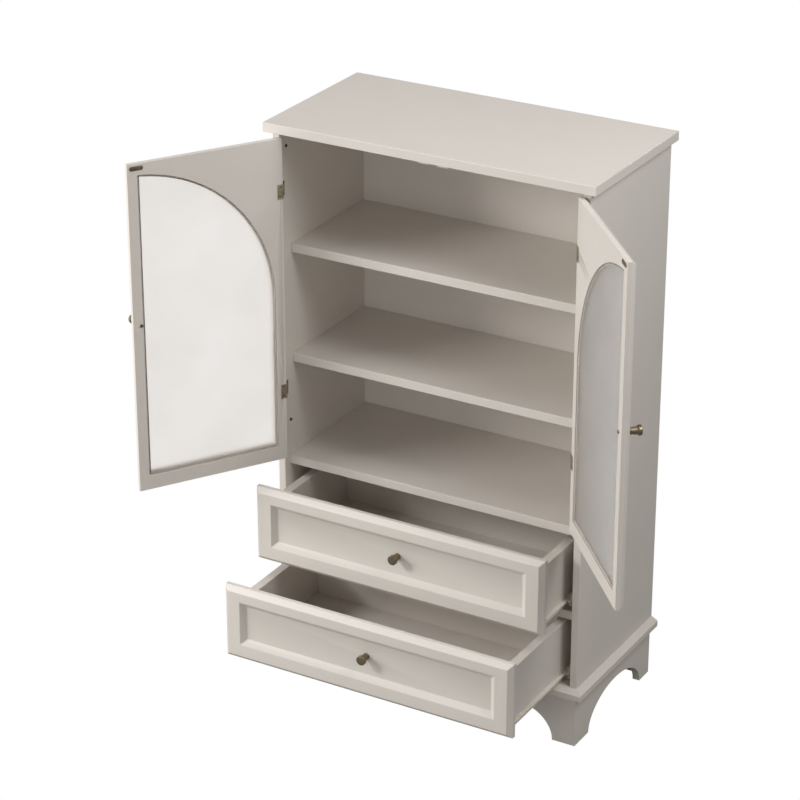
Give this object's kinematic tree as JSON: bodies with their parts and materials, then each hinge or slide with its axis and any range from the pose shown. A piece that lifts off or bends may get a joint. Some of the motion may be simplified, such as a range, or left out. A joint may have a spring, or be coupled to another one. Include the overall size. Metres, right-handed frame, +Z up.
{
  "type": "armoire",
  "caption": "Painted armoire with arched frosted glass doors on butt hinges, open shelf bays and sliding drawers on a bracket-foot base.",
  "frame": {"origin": "on the floor, under the middle of the carcass's 800 x 400 mm footprint", "axes": "+X to the right seen from the front, +Y from the doors to the back, +Z up"},
  "size_m": [1.263, 0.7274, 1.391],
  "materials": {
    "paint": "satin warm white paint on fibreboard",
    "bare_wood": "unfinished wood",
    "glass": "frosted sheet glass",
    "bronze": "antique bronze",
    "slide_steel": "cream powder coat",
    "nylon": "moulded nylon",
    "catch_plastic": "moulded plastic",
    "dark_rubber": "soft buffer"
  },
  "bodies": {
    "cabinet": {"top_panel": "paint", "left_side_panel": "paint", "right_side_panel": "paint", "back_panel": "paint", "upper_shelf": "paint", "middle_shelf": "paint", "lower_shelf": "paint", "drawer_rail": "paint", "dowels": "bare_wood", "base_platform": "paint", "front_moulding": "paint", "left_moulding": "paint", "right_moulding": "paint", "front_apron": "paint", "back_apron": "paint", "left_apron": "paint", "right_apron": "paint", "corner_blocks": "bare_wood", "door_stop_studs": "dark_rubber", "magnetic_catches": "catch_plastic", "frame_hinge_leaves": "bronze", "hinge_pins": "bronze", "frame_hinge_screws": "bronze", "runner_cleats": "bare_wood", "cabinet_slides": "slide_steel"},
    "left_door": {"left_door_frame": "paint", "left_door_glass": "glass", "left_glazing_bead": "paint", "left_door_knob": "bronze", "left_strike_plate": "bronze", "left_door_hinge_leaves": "bronze", "left_door_screws": "bronze"},
    "right_door": {"right_door_frame": "paint", "right_door_glass": "glass", "right_glazing_bead": "paint", "right_door_knob": "bronze", "right_strike_plate": "bronze", "right_door_hinge_leaves": "bronze", "right_door_screws": "bronze"},
    "upper_drawer": {"upper_drawer_front": "paint", "upper_drawer_left_side": "paint", "upper_drawer_right_side": "paint", "upper_drawer_back": "paint", "upper_drawer_bottom": "paint", "upper_drawer_knob": "bronze", "upper_knob_screw": "bronze", "upper_drawer_slides": "slide_steel"},
    "upper_front_roller_pair": {"upper_front_rollers": "nylon"},
    "upper_rear_roller_pair": {"upper_rear_rollers": "nylon"},
    "lower_drawer": {"lower_drawer_front": "paint", "lower_drawer_left_side": "paint", "lower_drawer_right_side": "paint", "lower_drawer_back": "paint", "lower_drawer_bottom": "paint", "lower_drawer_knob": "bronze", "lower_knob_screw": "bronze", "lower_drawer_slides": "slide_steel"},
    "lower_front_roller_pair": {"lower_front_rollers": "nylon"},
    "lower_rear_roller_pair": {"lower_rear_rollers": "nylon"}
  },
  "joints": [
    {"name": "left_door_hinge", "type": "hinge", "parent": "cabinet", "child": "left_door", "pos_m": [-0.383, -0.1945, 0], "axis": [0, 0, -1], "range_deg": [-121.8, 14.2]},
    {"name": "right_door_hinge", "type": "hinge", "parent": "cabinet", "child": "right_door", "pos_m": [0.383, -0.1945, 0], "axis": [0, 0, 1], "range_deg": [-131.8, 4.2]},
    {"name": "upper_drawer_slide", "type": "slide", "parent": "cabinet", "child": "upper_drawer", "axis": [0, -1, 0], "range_m": [-0.1425, 0.1575]},
    {"name": "upper_front_roller_spin", "type": "hinge", "parent": "cabinet", "child": "upper_front_roller_pair", "pos_m": [0, -0.168, 0.3627], "axis": [1, 0, 0], "continuous": true},
    {"name": "upper_rear_roller_spin", "type": "hinge", "parent": "upper_drawer", "child": "upper_rear_roller_pair", "pos_m": [0, 0.0045, 0.3611], "axis": [1, 0, 0], "continuous": true},
    {"name": "lower_drawer_slide", "type": "slide", "parent": "cabinet", "child": "lower_drawer", "axis": [0, -1, 0], "range_m": [-0.2837, 0.0163]},
    {"name": "lower_front_roller_spin", "type": "hinge", "parent": "cabinet", "child": "lower_front_roller_pair", "pos_m": [0, -0.168, 0.1712], "axis": [1, 0, 0], "continuous": true},
    {"name": "lower_rear_roller_spin", "type": "hinge", "parent": "lower_drawer", "child": "lower_rear_roller_pair", "pos_m": [0, -0.1367, 0.1696], "axis": [1, 0, 0], "continuous": true}
  ]
}
